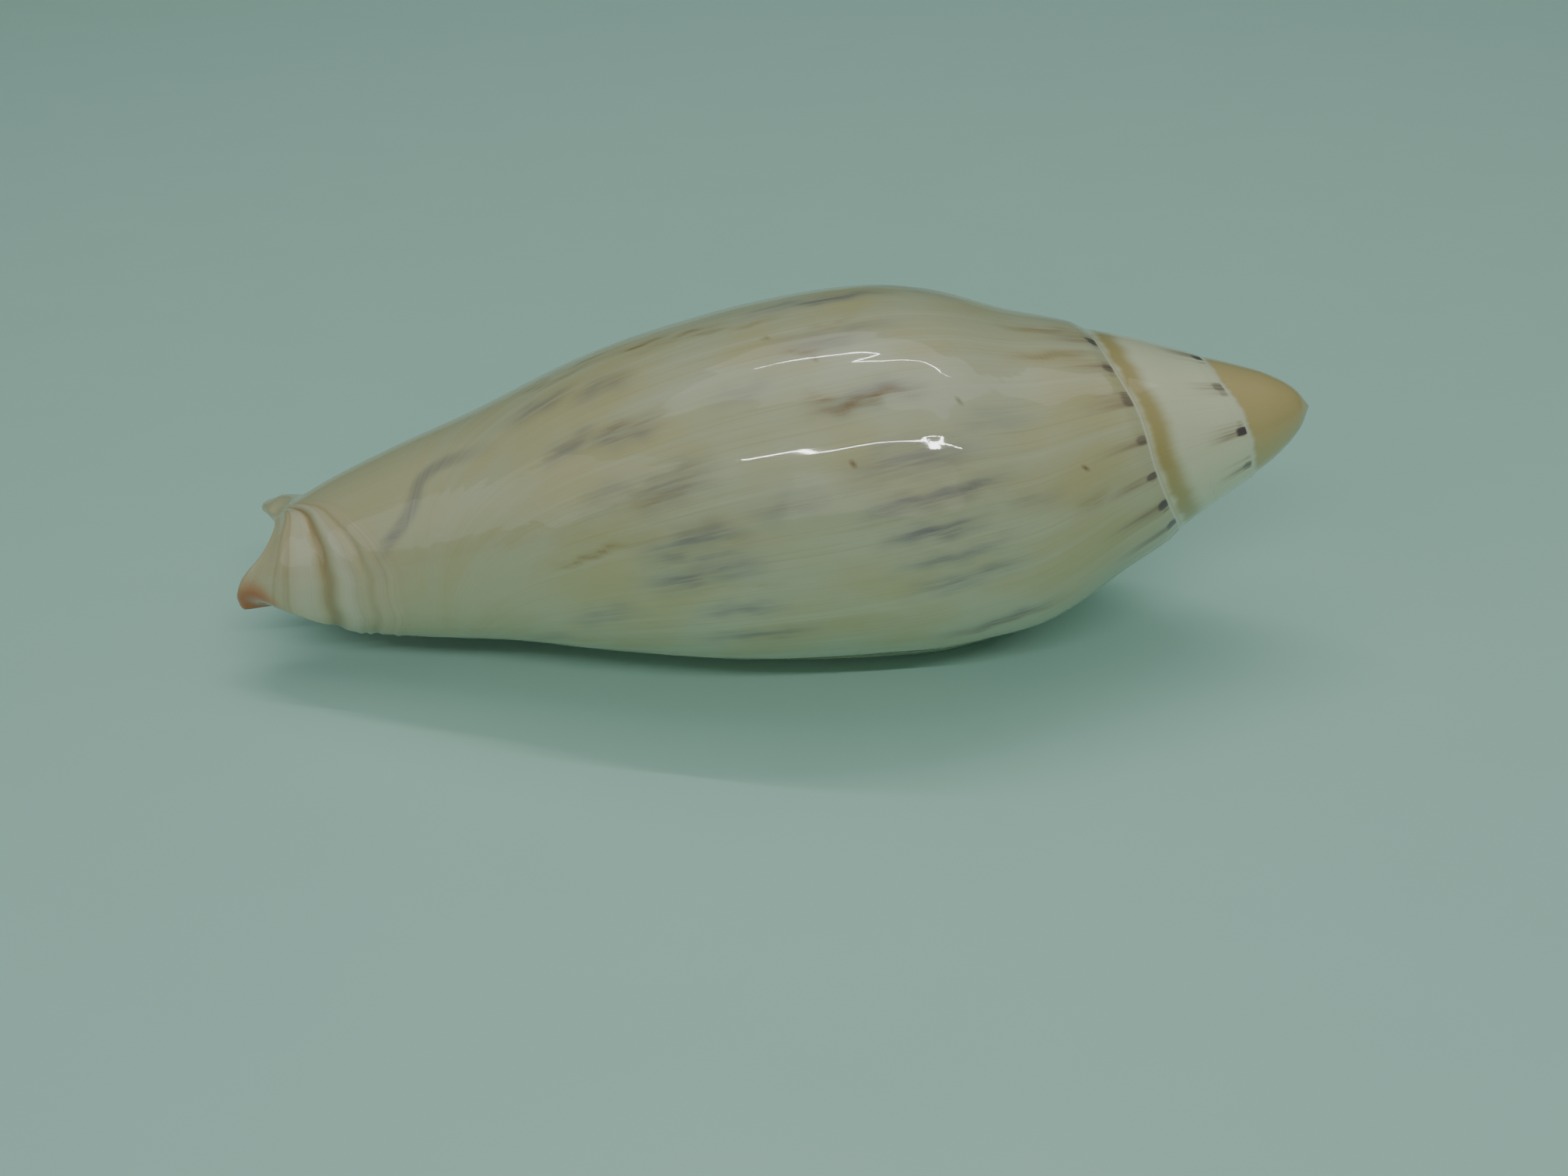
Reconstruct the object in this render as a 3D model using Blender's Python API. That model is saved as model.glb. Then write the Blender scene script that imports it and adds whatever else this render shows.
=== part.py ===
"""A volute shell, 85 mm long, lying on its aperture: one closed solid with a spiral hollow.

Everything is first laid out about the shell's own axis. h runs along it from the front tip of the
columella (0) to the apex (85). An angle of 0 is the top, 90 the far side, 180 the floor and -90 the
near side. The shell grew with rising angles, so going back from the lip the angle falls: 160 at the
lip, 0 over the top, -90 near side, -210 where the last turn dives back under the lip.
Lengths are in millimetres until the last step, which scales the mesh to metres.
"""

import math

import bmesh
import bpy
import numpy as np
from mathutils import Vector

LENGTH = 85.0
AXIS_TILT = math.radians(9.4)
AXIS_ROLL = math.radians(-1.8)
WALL = 1.1
SUTURE_STEP = 0.45

# Radius of the outside along the axis, as (h, radius): anterior end, widest body, spire, rounded apex
OUTLINE = [(-1, 3.3), (2, 4.2), (7, 6.0), (14.2, 7.85), (21.3, 9.4), (29.8, 11.7), (38.3, 13.4),
           (46.8, 14.25), (53, 14.4), (59.5, 13.45), (65.5, 11.45), (70.6, 9.05), (75.7, 6.45), (79.9, 4.5),
           (82.5, 3.05), (84.1, 1.6), (85, 0)]
# How far the centre line stands above the straight axis, as (h, up)
BOW = [(0, 0.4), (10, 0.9), (20, 1.15), (30, 1.25), (40, 0.9), (50, 0.5), (58, -0.35), (64, -1.35),
       (70, -0.95), (77, -0.6), (85, -0.2)]
# The outer lip as (h, angle, radius), from its front corner back to where it joins the last turn
LIP = [(3.4, 76, 7.0), (4.4, 95, 7.4), (5.6, 115, 7.9), (7.4, 135, 8.2), (10.2, 148, 8.7), (17, 158, 9.7),
       (25.5, 162, 11.5), (34, 163, 13.2), (42.5, 165, 14.8), (47, 168, 15.25), (52, 172, 15.6),
       (57, 174, 15.8), (61, 169, 14.4), (65, 159, 12.1), (68, 150, 10.3)]
# The inner lip (columella, then the glazed side of the body) as (h, angle, radius)
INNER_LIP = [(0, -104, 3.1), (4, -135, 2.3), (9, -178, 1.9), (15, -207, 2.6), (22, -210, 3.6),
             (26.4, -210, 4.6), (41.7, -210, 8.2), (58.7, -210, 11.8), (64, -210, 11.2), (68, -210, 9.9)]
# Front edge over the top of the shell, as (angle, h): the siphonal notch
NOTCH = [(-104, 0), (-80, 0.35), (-68, 0.85), (-56, 1.5), (-48, 2.3), (-40, 3.4), (-28, 4.4), (-14, 4.8),
         (0, 4.4), (10, 3.8), (20, 3.0), (30, 2.3), (42, 2.2), (58, 2.7), (76, 3.4)]
# The suture going back from the end of the lip, as (degrees back, h)
SUTURE = [(0, 68), (80, 68.4), (140, 69.3), (168, 70.2), (194, 71.4), (222, 72.0), (248, 72.9), (268, 73.6),
          (303, 74.3), (382, 76.1), (468, 77.0), (525, 77.8), (560, 79.0), (587, 79.5), (626, 79.8),
          (733, 82.0), (860, 83.6)]
# How far forward the hollow reaches, as (degrees back from the lip, h): it is open at the notch
HOLLOW_FRONT = [(-20, -7), (124, -7), (140, 0), (150, 2.5), (170, 5), (190, 7.5), (210, 11), (270, 28)]
LIP_END = 150
CORE_FAR = -2.9
CORE_UP = -1.35
JOIN = 68.0
BEND = 44.0
BELLY = 1.45

COLUMNS = 46
BODY_ROWS = 34
SPIRE_ROWS = 18
EDGE_STEPS = 2
HOLLOW_LOOPS = 30
OUTER_LOOPS = 4
HOLLOW_SIDE = 18
FAN_AT = 9.0


def smooth(x):
    x = np.clip(x, 0, 1)
    return x * x * (3 - 2 * x)


def curve(points, value=1):
    """A smooth curve through the points, with no overshoot."""
    x = np.array([p[0] for p in points], float)
    y = np.array([p[value] for p in points], float)
    slope = np.diff(y) / np.diff(x)
    tangent = np.concatenate([[slope[0]], (slope[1:] + slope[:-1]) / 2, [slope[-1]]])
    turn = slope[1:] * slope[:-1] <= 0
    tangent[1:-1][turn] = 0

    def at(where):
        where = np.clip(where, x[0], x[-1])
        i = np.clip(np.searchsorted(x, where) - 1, 0, len(x) - 2)
        wide = x[i + 1] - x[i]
        t = (where - x[i]) / wide
        a = 2 * t**3 - 3 * t**2 + 1
        b = t**3 - 2 * t**2 + t
        c = t**3 - t**2
        return a * y[i] + b * wide * tangent[i] + (1 - a) * y[i + 1] + c * wide * tangent[i + 1]

    return at


outline = curve(OUTLINE)
bow_up = curve(BOW)
lip_angle = curve(LIP, 1)
lip_radius = curve(LIP, 2)
inner_angle = curve(INNER_LIP, 1)
inner_radius = curve(INNER_LIP, 2)
notch = curve(NOTCH)
suture = curve(SUTURE)
hollow_front = curve(HOLLOW_FRONT)


def outside_radius(h, angle):
    """Radius of the outer surface about the centre line."""
    base = outline(h) - 0.15 - 0.35 * smooth((JOIN + 6 - h) / 6)
    # Each suture is a low step: the younger turn stands proud of the older one
    for turn in (0, 360, 720):
        back = LIP_END - angle + turn
        tall = SUTURE_STEP * np.clip(1 - back / 800, 0, 1.05)
        base = base + tall * smooth((suture(back) - h) / 0.9)
    # The side that meets the floor is a little fuller
    base = base + BELLY * smooth(1 - abs(h - 50) / 22) * smooth(1 - abs(angle + 170) / 28)
    # The lip stands out a little from the round body
    back = np.clip((lip_angle(h) - angle) / 95, 0, 1)
    base = base + (lip_radius(h) - base) * (0.5 + 0.5 * np.cos(np.pi * back)) * smooth((JOIN - h) / 2)
    # The last turn bends in under the lip
    end = inner_angle(h)
    bend = smooth((end + BEND - angle) / BEND) * smooth((JOIN - h) / 2)
    return base + (inner_radius(h) - base) * bend


def place(h, angle, radius):
    """A point from the height, angle in degrees and radius about the slightly bowed centre line."""
    a = np.radians(angle)
    share = np.clip(h / LENGTH, 0, 1)
    far = 2.9 * share * (1 - share) ** 2
    up = bow_up(h)
    return np.stack([h + 0 * a, far + radius * np.sin(a), up + radius * np.cos(a)], axis=-1)


def outside_grid():
    """Rows from the front edge to the apex, columns from the lip back to the inner lip."""
    c = np.linspace(0, 1, COLUMNS + 1)
    first = np.zeros_like(c)
    for _ in range(60):
        angle = lip_angle(first) + c * (inner_angle(first) - lip_angle(first))
        first = 0.7 * first + 0.3 * notch(angle)
    body = (np.linspace(0, 1, BODY_ROWS + 1) ** 1.15)[:, None]
    rows = first + (JOIN - first) * body
    dome = 1 - (1 - np.linspace(0, 1, SPIRE_ROWS + 1)[1:]) ** 1.5
    rows = np.concatenate([rows, (JOIN + (LENGTH - JOIN) * dome)[:, None] + 0 * first])
    spread = lip_angle(rows) + c * (inner_angle(rows) - lip_angle(rows))
    return rows, spread


def edge_frame(steps, rows, angle, points):
    """For each point of the mouth's edge: the way out of the surface, and the way the edge faces."""
    h = np.array([rows[i, j] for i, j in steps])
    a = np.radians([angle[i, j] for i, j in steps])
    out = np.stack([0 * a, np.sin(a), np.cos(a)], axis=-1)
    around = np.stack([0 * a, np.cos(a), -np.sin(a)], axis=-1)
    # 1 faces forward along the growth (the lip), 0 to the front (the notch), -1 back (the inner lip)
    way = np.array([1.0 if j == 0 else -1.0 if j == COLUMNS else 0.0 for i, j in steps])
    for _ in range(2):
        way = (np.roll(way, 1) + way + np.roll(way, -1)) / 3
    way[0] = 0.6
    front = np.array([-1.0, 0, 0]) * (1 - np.abs(way))[:, None]
    faces = around * way[:, None] + front
    faces /= np.linalg.norm(faces, axis=1)[:, None]
    inner = np.array([float(j == COLUMNS) for i, j in steps])
    for _ in range(6):
        inner = (np.roll(inner, 1) + inner + np.roll(inner, -1)) / 3
    room = np.array([np.linalg.norm(points[i, 0] - points[i, COLUMNS]) for i, j in steps])
    wall = np.where([j == 0 for i, j in steps], np.minimum(WALL, 0.35 * room), WALL * (1 + inner))
    # The far corner of the notch thins out to a sharp edge
    wall = wall * (1 - 0.5 * smooth((12 - h) / 8) * smooth((np.degrees(a) + 10) / 40))
    wall[0] = 0.01
    order = np.arange(len(steps))
    inner = np.where(order < BODY_ROWS, 0, np.where(order > len(steps) - BODY_ROWS / 2, 1, inner))
    return out, faces, wall, inner, room


def solid_shell():
    """The shell with its mouth closed by a plain face, which the hollow then opens."""
    rows, angle = outside_grid()
    points = place(rows, angle, outside_radius(rows, angle))
    mesh = bmesh.new()
    grid = [[mesh.verts.new(p) for p in row] for row in points[:-1]]
    apex = mesh.verts.new(points[-1, 0])
    for i in range(BODY_ROWS, len(grid)):
        mesh.verts.remove(grid[i][-1])
        grid[i][-1] = grid[i][0]
    for low, high in zip(grid, grid[1:]):
        for j in range(COLUMNS):
            corners = (low[j], high[j], high[j + 1], low[j + 1])
            mesh.faces.new(corners)
    for j in range(COLUMNS):
        mesh.faces.new((grid[-1][j], apex, grid[-1][j + 1]))

    # The edge of the mouth: down the lip, over the notch, up the inner lip; it is rolled over round
    steps = [(i, 0) for i in range(BODY_ROWS, 0, -1)] + [(0, j) for j in range(COLUMNS)]
    steps += [(i, COLUMNS) for i in range(BODY_ROWS)]
    out, faces, wall, inner, room = edge_frame(steps, rows, angle, points)
    at = np.array([points[i, j] for i, j in steps])
    ring = [grid[i][j] for i, j in steps]
    for turn in np.linspace(0, math.pi, EDGE_STEPS + 1)[1:]:
        # A full half round on the lip and notch; the inner lip only runs on a little
        offset = (out * (math.cos(turn) - 1) + faces * math.sin(turn)) * (wall * (1 - inner) / 2)[:, None]
        offset = offset + faces * (0.1 * turn * inner * np.minimum(room, 1))[:, None]
        fresh = [mesh.verts.new(p) for p in at + offset]
        for k in range(len(ring)):
            n = (k + 1) % len(ring)
            mesh.faces.new((ring[k], ring[n], fresh[n], fresh[k]))
        ring = fresh

    # Plain faces across the mouth, from lip to inner lip, and a fan behind the notch
    edge = dict(zip(steps, ring))
    mesh.faces.new((edge[BODY_ROWS, 0], edge[BODY_ROWS - 1, 0], edge[BODY_ROWS - 1, COLUMNS]))
    for i in range(BODY_ROWS - 1):
        mesh.faces.new((edge[i, 0], edge[i + 1, 0], edge[i + 1, COLUMNS], edge[i, COLUMNS]))
    middle = mesh.verts.new(place(np.array(FAN_AT), np.array(0), np.array(0)))
    front = [edge[0, j] for j in range(COLUMNS + 1)]
    for a, b in zip(front, front[1:] + front[:1]):
        mesh.faces.new((a, b, middle))
    return mesh


def inside_radius(h, angle):
    """Radius of the inner face of the wall."""
    wall = WALL * (0.35 + 0.65 * smooth((JOIN - h) / 9))
    return outside_radius(h, np.minimum(angle, lip_angle(h))) - wall


def core_point(h, angle, outer):
    """The columella and the older turn, met on the way in from a point of the wall."""
    left = 1 - np.clip(h / LENGTH, 0, 1)
    base = inner_radius(np.maximum(h, 9)) + 0.34 * left
    core = base * (1 - 0.1 * smooth((150 - angle) / 200))
    # Low folds wind round the columella
    fold = smooth((h - 9) / 5) * smooth((40 - h) / 8)
    core = core + 0.28 * fold * np.cos(2 * np.pi * (h / 4.6 + (150 - angle) / 360))
    # Outside the mouth the hollow keeps off the body; just inside it cuts a little below the glaze
    at_mouth = smooth((angle - 95) / 50) * smooth((h - 6) / 9)
    under = outside_radius(h, angle - 360) + 0.5 * smooth((angle - 150) / 15) - 0.15
    core = core * (1 - at_mouth) + under * at_mouth
    axis = np.stack([0 * h, CORE_FAR * left, CORE_UP * left], axis=-1) * (1 - at_mouth)[:, None]
    centre = place(h, 0 * h, 0 * h) + axis
    way = outer - centre
    far = np.linalg.norm(way, axis=1)
    return far - core, way / far[:, None]


def hollow():
    """The spiral space of the last turn, from outside the mouth back to where it narrows out."""
    mesh = bmesh.new()
    k = (1 - np.cos(np.linspace(0, math.pi, HOLLOW_SIDE))) / 2
    rings = []
    # The first few loops lie outside the lip, reaching as far round as the inner lip
    for back in np.concatenate([np.arange(-OUTER_LOOPS, 0), np.linspace(0, 262, HOLLOW_LOOPS)]):
        top = 63.2 + 3.0 * smooth(back / 150)
        low = hollow_front(back)
        h = low + (top - low) * k
        reach = np.maximum(13, 361 + inner_angle(h) - lip_angle(h)) / OUTER_LOOPS
        angle = lip_angle(h) - (back if back > 0 else back * reach)
        radius = inside_radius(h, angle)
        # Past the lip the hollow stays clear of the body, which swells there
        clear = np.maximum(outside_radius(h, angle - 360) + 0.6 - radius, 0)
        radius = radius + clear * smooth((angle - lip_angle(h) - 2.5) / 5)
        outer = place(h, angle, radius)
        gap, way = core_point(h, angle, outer)
        taper = 1.5 + 5.5 * smooth(back / 60)
        close = np.sqrt(np.clip((top - h) / taper, 0, 1) * np.clip((h - low) / 6, 0, 1))
        close = close * math.sqrt(min(1, (265 - back) / 45))
        gap = np.maximum(gap * close, 0.1)
        loop = np.concatenate([outer, (outer - way * gap[:, None])[::-1]])
        rings.append([mesh.verts.new(p) for p in loop])
    for last, ring in zip(rings, rings[1:]):
        for n in range(len(ring)):
            m = (n + 1) % len(ring)
            mesh.faces.new((last[n], last[m], ring[m], ring[n]))
    for ring in (rings[0], rings[-1]):
        for n in range(HOLLOW_SIDE - 1):
            mesh.faces.new((ring[n], ring[n + 1], ring[-2 - n], ring[-1 - n]))
    return mesh


def lay_down(mesh):
    """Turn the part to how it lies on its lip and belly."""
    bmesh.ops.recalc_face_normals(mesh, faces=mesh.faces)
    for vertex in mesh.verts:
        h, far, up = vertex.co
        rolled = up * math.cos(AXIS_ROLL) + far * math.sin(AXIS_ROLL)
        x = h * math.cos(AXIS_TILT) - rolled * math.sin(AXIS_TILT)
        y = far * math.cos(AXIS_ROLL) - up * math.sin(AXIS_ROLL)
        z = h * math.sin(AXIS_TILT) + rolled * math.cos(AXIS_TILT)
        vertex.co = (x, y, z)


def to_object(mesh, name, origin):
    """Move the part's origin to the middle of its base, scale it to metres and make it an object."""
    for vertex in mesh.verts:
        vertex.co = (vertex.co - origin) / 1000
    data = bpy.data.meshes.new(name)
    mesh.to_mesh(data)
    mesh.free()
    thing = bpy.data.objects.new(name, data)
    bpy.context.scene.collection.objects.link(thing)
    return thing


def main():
    for old in list(bpy.data.objects):
        bpy.data.objects.remove(old)
    solid = solid_shell()
    space = hollow()
    lay_down(solid)
    lay_down(space)
    low, high = (Vector(pick(v.co[i] for v in solid.verts) for i in range(3)) for pick in (min, max))
    origin = Vector(((low.x + high.x) / 2, (low.y + high.y) / 2, low.z))
    shell = to_object(solid, "shell", origin)
    cutter = to_object(space, "hollow", origin)
    cutter.hide_render = True
    cutter.display_type = "WIRE"
    cut = shell.modifiers.new("mouth", "BOOLEAN")
    cut.operation = "DIFFERENCE"
    cut.solver = "EXACT"
    cut.use_self = True
    cut.object = cutter
    finish = bpy.data.materials.new("porcelain shell")
    finish.use_nodes = True
    paint = finish.node_tree.nodes["Principled BSDF"]
    paint.inputs["Base Color"].default_value = (0.80, 0.74, 0.60, 1)
    paint.inputs["Roughness"].default_value = 0.22
    paint.inputs["Metallic"].default_value = 0
    shell.data.materials.append(finish)
    shell.data.shade_smooth()


main()
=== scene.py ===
import math
import bmesh
import bpy
import numpy as np
from mathutils import Matrix, Vector


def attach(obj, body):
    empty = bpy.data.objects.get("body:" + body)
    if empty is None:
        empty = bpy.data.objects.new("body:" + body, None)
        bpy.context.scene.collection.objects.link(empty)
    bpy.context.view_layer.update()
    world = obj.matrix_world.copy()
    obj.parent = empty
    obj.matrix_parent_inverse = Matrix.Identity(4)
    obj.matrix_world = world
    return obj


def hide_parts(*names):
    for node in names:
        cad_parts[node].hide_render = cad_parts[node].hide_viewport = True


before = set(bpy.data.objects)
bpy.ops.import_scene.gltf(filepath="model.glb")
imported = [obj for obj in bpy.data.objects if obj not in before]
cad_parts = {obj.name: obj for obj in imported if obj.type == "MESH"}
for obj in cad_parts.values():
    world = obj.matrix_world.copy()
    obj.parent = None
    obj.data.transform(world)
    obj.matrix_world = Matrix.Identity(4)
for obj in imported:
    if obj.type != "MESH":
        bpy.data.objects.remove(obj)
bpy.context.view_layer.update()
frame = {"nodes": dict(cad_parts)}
print("frame loaded:", ", ".join(frame["nodes"]))

# Lengths are millimetres about the shell's own axis: h runs from the front tip (0) to the apex (85).
# Angle 0 is the top, 90 the far side, 180 the floor, -90 the near side; growth raises the angle.
shellForm = {
    "length": 85.0,
    "tilt": 9.4,
    "roll": -1.8,
    "wall": 1.1,
    "spireWall": 0.35,
    "sutureStep": 0.45,
    "stepWidth": 0.9,
    "lipSweep": 95,
    "bend": 44.0,
    "join": 68.0,
    # the side on the floor is a little fuller: how much, where along and round, and how far it spreads
    "belly": {"rise": 1.45, "h": 50, "spread": 22, "angle": -170, "turn": 28},
    "bowFar": 2.9,
    "outline": [(-1, 3.3), (2, 4.2), (7, 6.0), (14.2, 7.85), (21.3, 9.4), (29.8, 11.7), (38.3, 13.4), (46.8, 14.25),
                (53, 14.4), (59.5, 13.45), (65.5, 11.45), (70.6, 9.05), (75.7, 6.45), (79.9, 4.5), (82.5, 3.05),
                (84.1, 1.6), (85, 0)],
    "bow": [(0, 0.4), (10, 0.9), (20, 1.15), (30, 1.25), (40, 0.9), (50, 0.5), (58, -0.35), (64, -1.35),
            (70, -0.95), (77, -0.6), (85, -0.2)],
    "lip": [(3.4, 76, 7.0), (4.4, 95, 7.4), (5.6, 115, 7.9), (7.4, 135, 8.2), (10.2, 148, 8.7), (17, 158, 9.7),
            (25.5, 162, 11.5), (34, 163, 13.2), (42.5, 165, 14.8), (47, 168, 15.25), (52, 172, 15.6),
            (57, 174, 15.8), (61, 169, 14.4), (65, 159, 12.1), (68, 150, 10.3)],
    "innerLip": [(0, -104, 3.1), (4, -135, 2.3), (9, -178, 1.9), (15, -207, 2.6), (22, -210, 3.6),
                 (26.4, -210, 4.6), (41.7, -210, 8.2), (58.7, -210, 11.8), (64, -210, 11.2), (68, -210, 9.9)],
    "notch": [(-104, 0), (-80, 0.35), (-68, 0.85), (-56, 1.5), (-48, 2.3), (-40, 3.4), (-28, 4.4), (-14, 4.8),
              (0, 4.4), (10, 3.8), (20, 3.0), (30, 2.3), (42, 2.2), (58, 2.7), (76, 3.4)],
    "suture": [(0, 68), (80, 68.4), (140, 69.3), (168, 70.2), (194, 71.4), (222, 72.0), (248, 72.9), (268, 73.6),
               (303, 74.3), (382, 76.1), (468, 77.0), (525, 77.8), (560, 79.0), (587, 79.5), (626, 79.8),
               (733, 82.0), (860, 83.6)],
    "lipEnd": 150,
    "lastBack": 860,
    "columns": 230,
    "bodyRows": 200,
    "spireRows": 74,
    "edgeSteps": 6,
}


def smooth(x):
    x = np.clip(x, 0, 1)
    return x * x * (3 - 2 * x)


def curve(points, value=1):
    # a smooth curve through the points, with no overshoot
    x = np.array([p[0] for p in points], float)
    y = np.array([p[value] for p in points], float)
    slope = np.diff(y) / np.diff(x)
    tangent = np.concatenate([[slope[0]], (slope[1:] + slope[:-1]) / 2, [slope[-1]]])
    turn = slope[1:] * slope[:-1] <= 0
    tangent[1:-1][turn] = 0

    def at(where):
        where = np.clip(where, x[0], x[-1])
        i = np.clip(np.searchsorted(x, where) - 1, 0, len(x) - 2)
        wide = x[i + 1] - x[i]
        t = (where - x[i]) / wide
        a = 2 * t**3 - 3 * t**2 + 1
        b = t**3 - 2 * t**2 + t
        c = t**3 - t**2
        return a * y[i] + b * wide * tangent[i] + (1 - a) * y[i + 1] + c * wide * tangent[i + 1]

    return at


outline = curve(shellForm["outline"])
bowUp = curve(shellForm["bow"])
lipAngle = curve(shellForm["lip"], 1)
lipRadius = curve(shellForm["lip"], 2)
innerAngle = curve(shellForm["innerLip"], 1)
innerRadius = curve(shellForm["innerLip"], 2)
notch = curve(shellForm["notch"])
suture = curve(shellForm["suture"])
length, joinAt, lipEnd = shellForm["length"], shellForm["join"], shellForm["lipEnd"]


def sutureAt(angle, turns=0):
    # height of the suture at an angle, on the given older turn
    return suture(np.clip(lipEnd - angle + 360 * turns, 0, shellForm["lastBack"]))


def edgeAngle(h):
    # the lip's angle, held level in front of it
    return lipAngle(np.clip(h, -0.3, joinAt))


def outsideRadius(h, angle):
    base = outline(h) - 0.15 * smooth((length - h) / 1.5) - 0.35 * smooth((joinAt + 6 - h) / 6)
    for turn in (0, 360, 720):  # each suture is a low step
        back = lipEnd - angle + turn
        tall = shellForm["sutureStep"] * np.clip(1 - back / 800, 0, 1.05)
        base = base + tall * smooth((suture(back) - h) / shellForm["stepWidth"])
    belly = shellForm["belly"]
    across = smooth(1 - abs(angle - belly["angle"]) / belly["turn"])
    base = base + belly["rise"] * smooth(1 - abs(h - belly["h"]) / belly["spread"]) * across
    # the lip stands out a little from the round body
    back = np.clip((lipAngle(h) - angle) / shellForm["lipSweep"], 0, 1)
    base = base + (lipRadius(h) - base) * (0.5 + 0.5 * np.cos(np.pi * back)) * smooth((joinAt - h) / 2)
    # the last turn bends in under the lip
    bend = smooth((innerAngle(h) + shellForm["bend"] - angle) / shellForm["bend"]) * smooth((joinAt - h) / 2)
    return base + (innerRadius(h) - base) * bend


def wallAt(h):
    share = shellForm["spireWall"]
    return shellForm["wall"] * (share + (1 - share) * smooth((joinAt - h) / 9))


def bowFar(h):
    share = np.clip(h / length, 0, 1)
    return shellForm["bowFar"] * share * (1 - share) ** 2


def place(h, angle, radius):
    a = np.radians(angle)
    return np.stack([h + 0 * a, bowFar(h) + radius * np.sin(a), bowUp(h) + radius * np.cos(a)], axis=-1)


# Growth lines run nearly along the body, and sweep round into arches over the band behind the notch
surfaceDetail = {
    "growthSweep": [(16.6, -96), (17.6, -78), (18.8, -54), (21, -34), (24.6, -19.5), (28.9, -12), (36, -6),
                    (42, -2.5), (50, 0), (56, 3.5), (60, 6.5), (64, 9.5), (68, 12.5), (72, 15.5), (85, 20)],
    "bandRim": [(-210, 0), (-104, 0), (-72, 0.9), (-42, 3.1), (-12, 4.8), (14, 3.5), (30, 2.3), (76, 3.4)],
    "bandWidth": [(-200, 6.6), (-130, 7.4), (-100, 8.5), (-78, 8.5), (-60, 7.5), (-43, 5.8), (-24, 3.6), (-8, 1.9),
                  (20, 0.6)],
    "bandEdge": 1.9,
    # across the band, as (place, half width, height): the raised rim, and the grooves
    "rims": [(0.42, 0.22, 0.30), (0.95, 0.10, -0.165)],
    "grooves": [(1.0, 0.09, 0.14), (1.40, 0.07, 0.112)],
    "lamellaHeight": 0.06,
    # growth waves on the body, as (pitch, lean, start, size)
    "growthWave": 0.011,
    "growthWaves": [(0.83, 0, 0.9, 1), (1.57, 0.05, 0, 0.7), (2.9, 0, 2, 0.5)],
    "sutureLine": {"height": 0.10, "at": -0.15, "width": 0.22, "fadeFrom": 82},
}
growthSweep = curve(surfaceDetail["growthSweep"])
bandRim = curve(surfaceDetail["bandRim"])
bandWidth = curve(surfaceDetail["bandWidth"])


def growthPlace(h, angle):
    return angle - growthSweep(h)


def bandPlace(h, angle):
    # 0 at the notch's rim, 1 at the first groove behind it; the mask says how much of it holds here
    t = (h - bandRim(angle)) / bandWidth(angle)
    mask = smooth((surfaceDetail["bandEdge"] - t) / 0.35) * smooth((14 - angle) / 22)
    return t, mask


def sutureGap(h, angle):
    # signed distance along the axis to the nearest suture, and which turn's suture it is
    best = np.full(np.broadcast(h, angle).shape, 99.0)
    which = np.zeros(best.shape)
    for n in range(3):
        gap = h - sutureAt(angle, n)
        near = np.abs(gap) < np.abs(best)
        best = np.where(near, gap, best)
        which = np.where(near, n, which)
    return best, which


def bumps(x, rows):
    return sum(tall * np.exp(-((x - middle) / wide) ** 2) for middle, wide, tall in rows)


def relief(h, angle):
    t, mask = bandPlace(h, angle)
    lamellae = np.sin(38 * t + 2.1 * np.sin(5 * t)) + 0.6 * np.sin(61 * t + 1.3)
    lamellae = lamellae * smooth((t - 0.8) / 0.4) * (0.1 + 0.9 * smooth((-70 - angle) / 50))
    high = bumps(t, surfaceDetail["rims"]) - bumps(t, surfaceDetail["grooves"])
    high = (high + surfaceDetail["lamellaHeight"] * lamellae) * mask
    g = growthPlace(h, angle)
    waves = sum(size * np.sin(pitch * g + lean * h + start)
                for pitch, lean, start, size in surfaceDetail["growthWaves"])
    body = smooth((lipEnd - angle) / 8) * smooth((h - 14) / 6) * smooth((joinAt - h) / 6)
    high = high + surfaceDetail["growthWave"] * waves * (1 - mask) * body
    line = surfaceDetail["sutureLine"]
    gap, _ = sutureGap(h, angle)
    fade = smooth((line["fadeFrom"] - h) / 2)
    high = high + line["height"] * np.exp(-((gap - line["at"]) / line["width"]) ** 2) * fade
    keep = smooth((edgeAngle(h) - angle) / 6) + smooth((h - joinAt) / 1)
    return high * np.clip(keep, 0, 1)


def outsideGrid():
    # rows from the front edge to the apex, columns from the lip back to the inner lip
    c = np.linspace(0, 1, shellForm["columns"] + 1)
    first = np.zeros_like(c)
    for _ in range(60):
        angle = lipAngle(first) + c * (innerAngle(first) - lipAngle(first))
        first = 0.7 * first + 0.3 * notch(angle)
    body = (np.linspace(0, 1, shellForm["bodyRows"] + 1) ** 1.1)[:, None]
    rows = first + (joinAt - first) * body
    dome = 1 - (1 - np.linspace(0, 1, shellForm["spireRows"] + 1)[1:]) ** 1.5
    rows = np.concatenate([rows, (joinAt + (length - joinAt) * dome)[:, None] + 0 * first])
    return rows, lipAngle(rows) + c * (innerAngle(rows) - lipAngle(rows))


def evenedOut(values, times):
    for _ in range(times):
        values = (np.roll(values, 1) + values + np.roll(values, -1)) / 3
    return values


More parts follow.
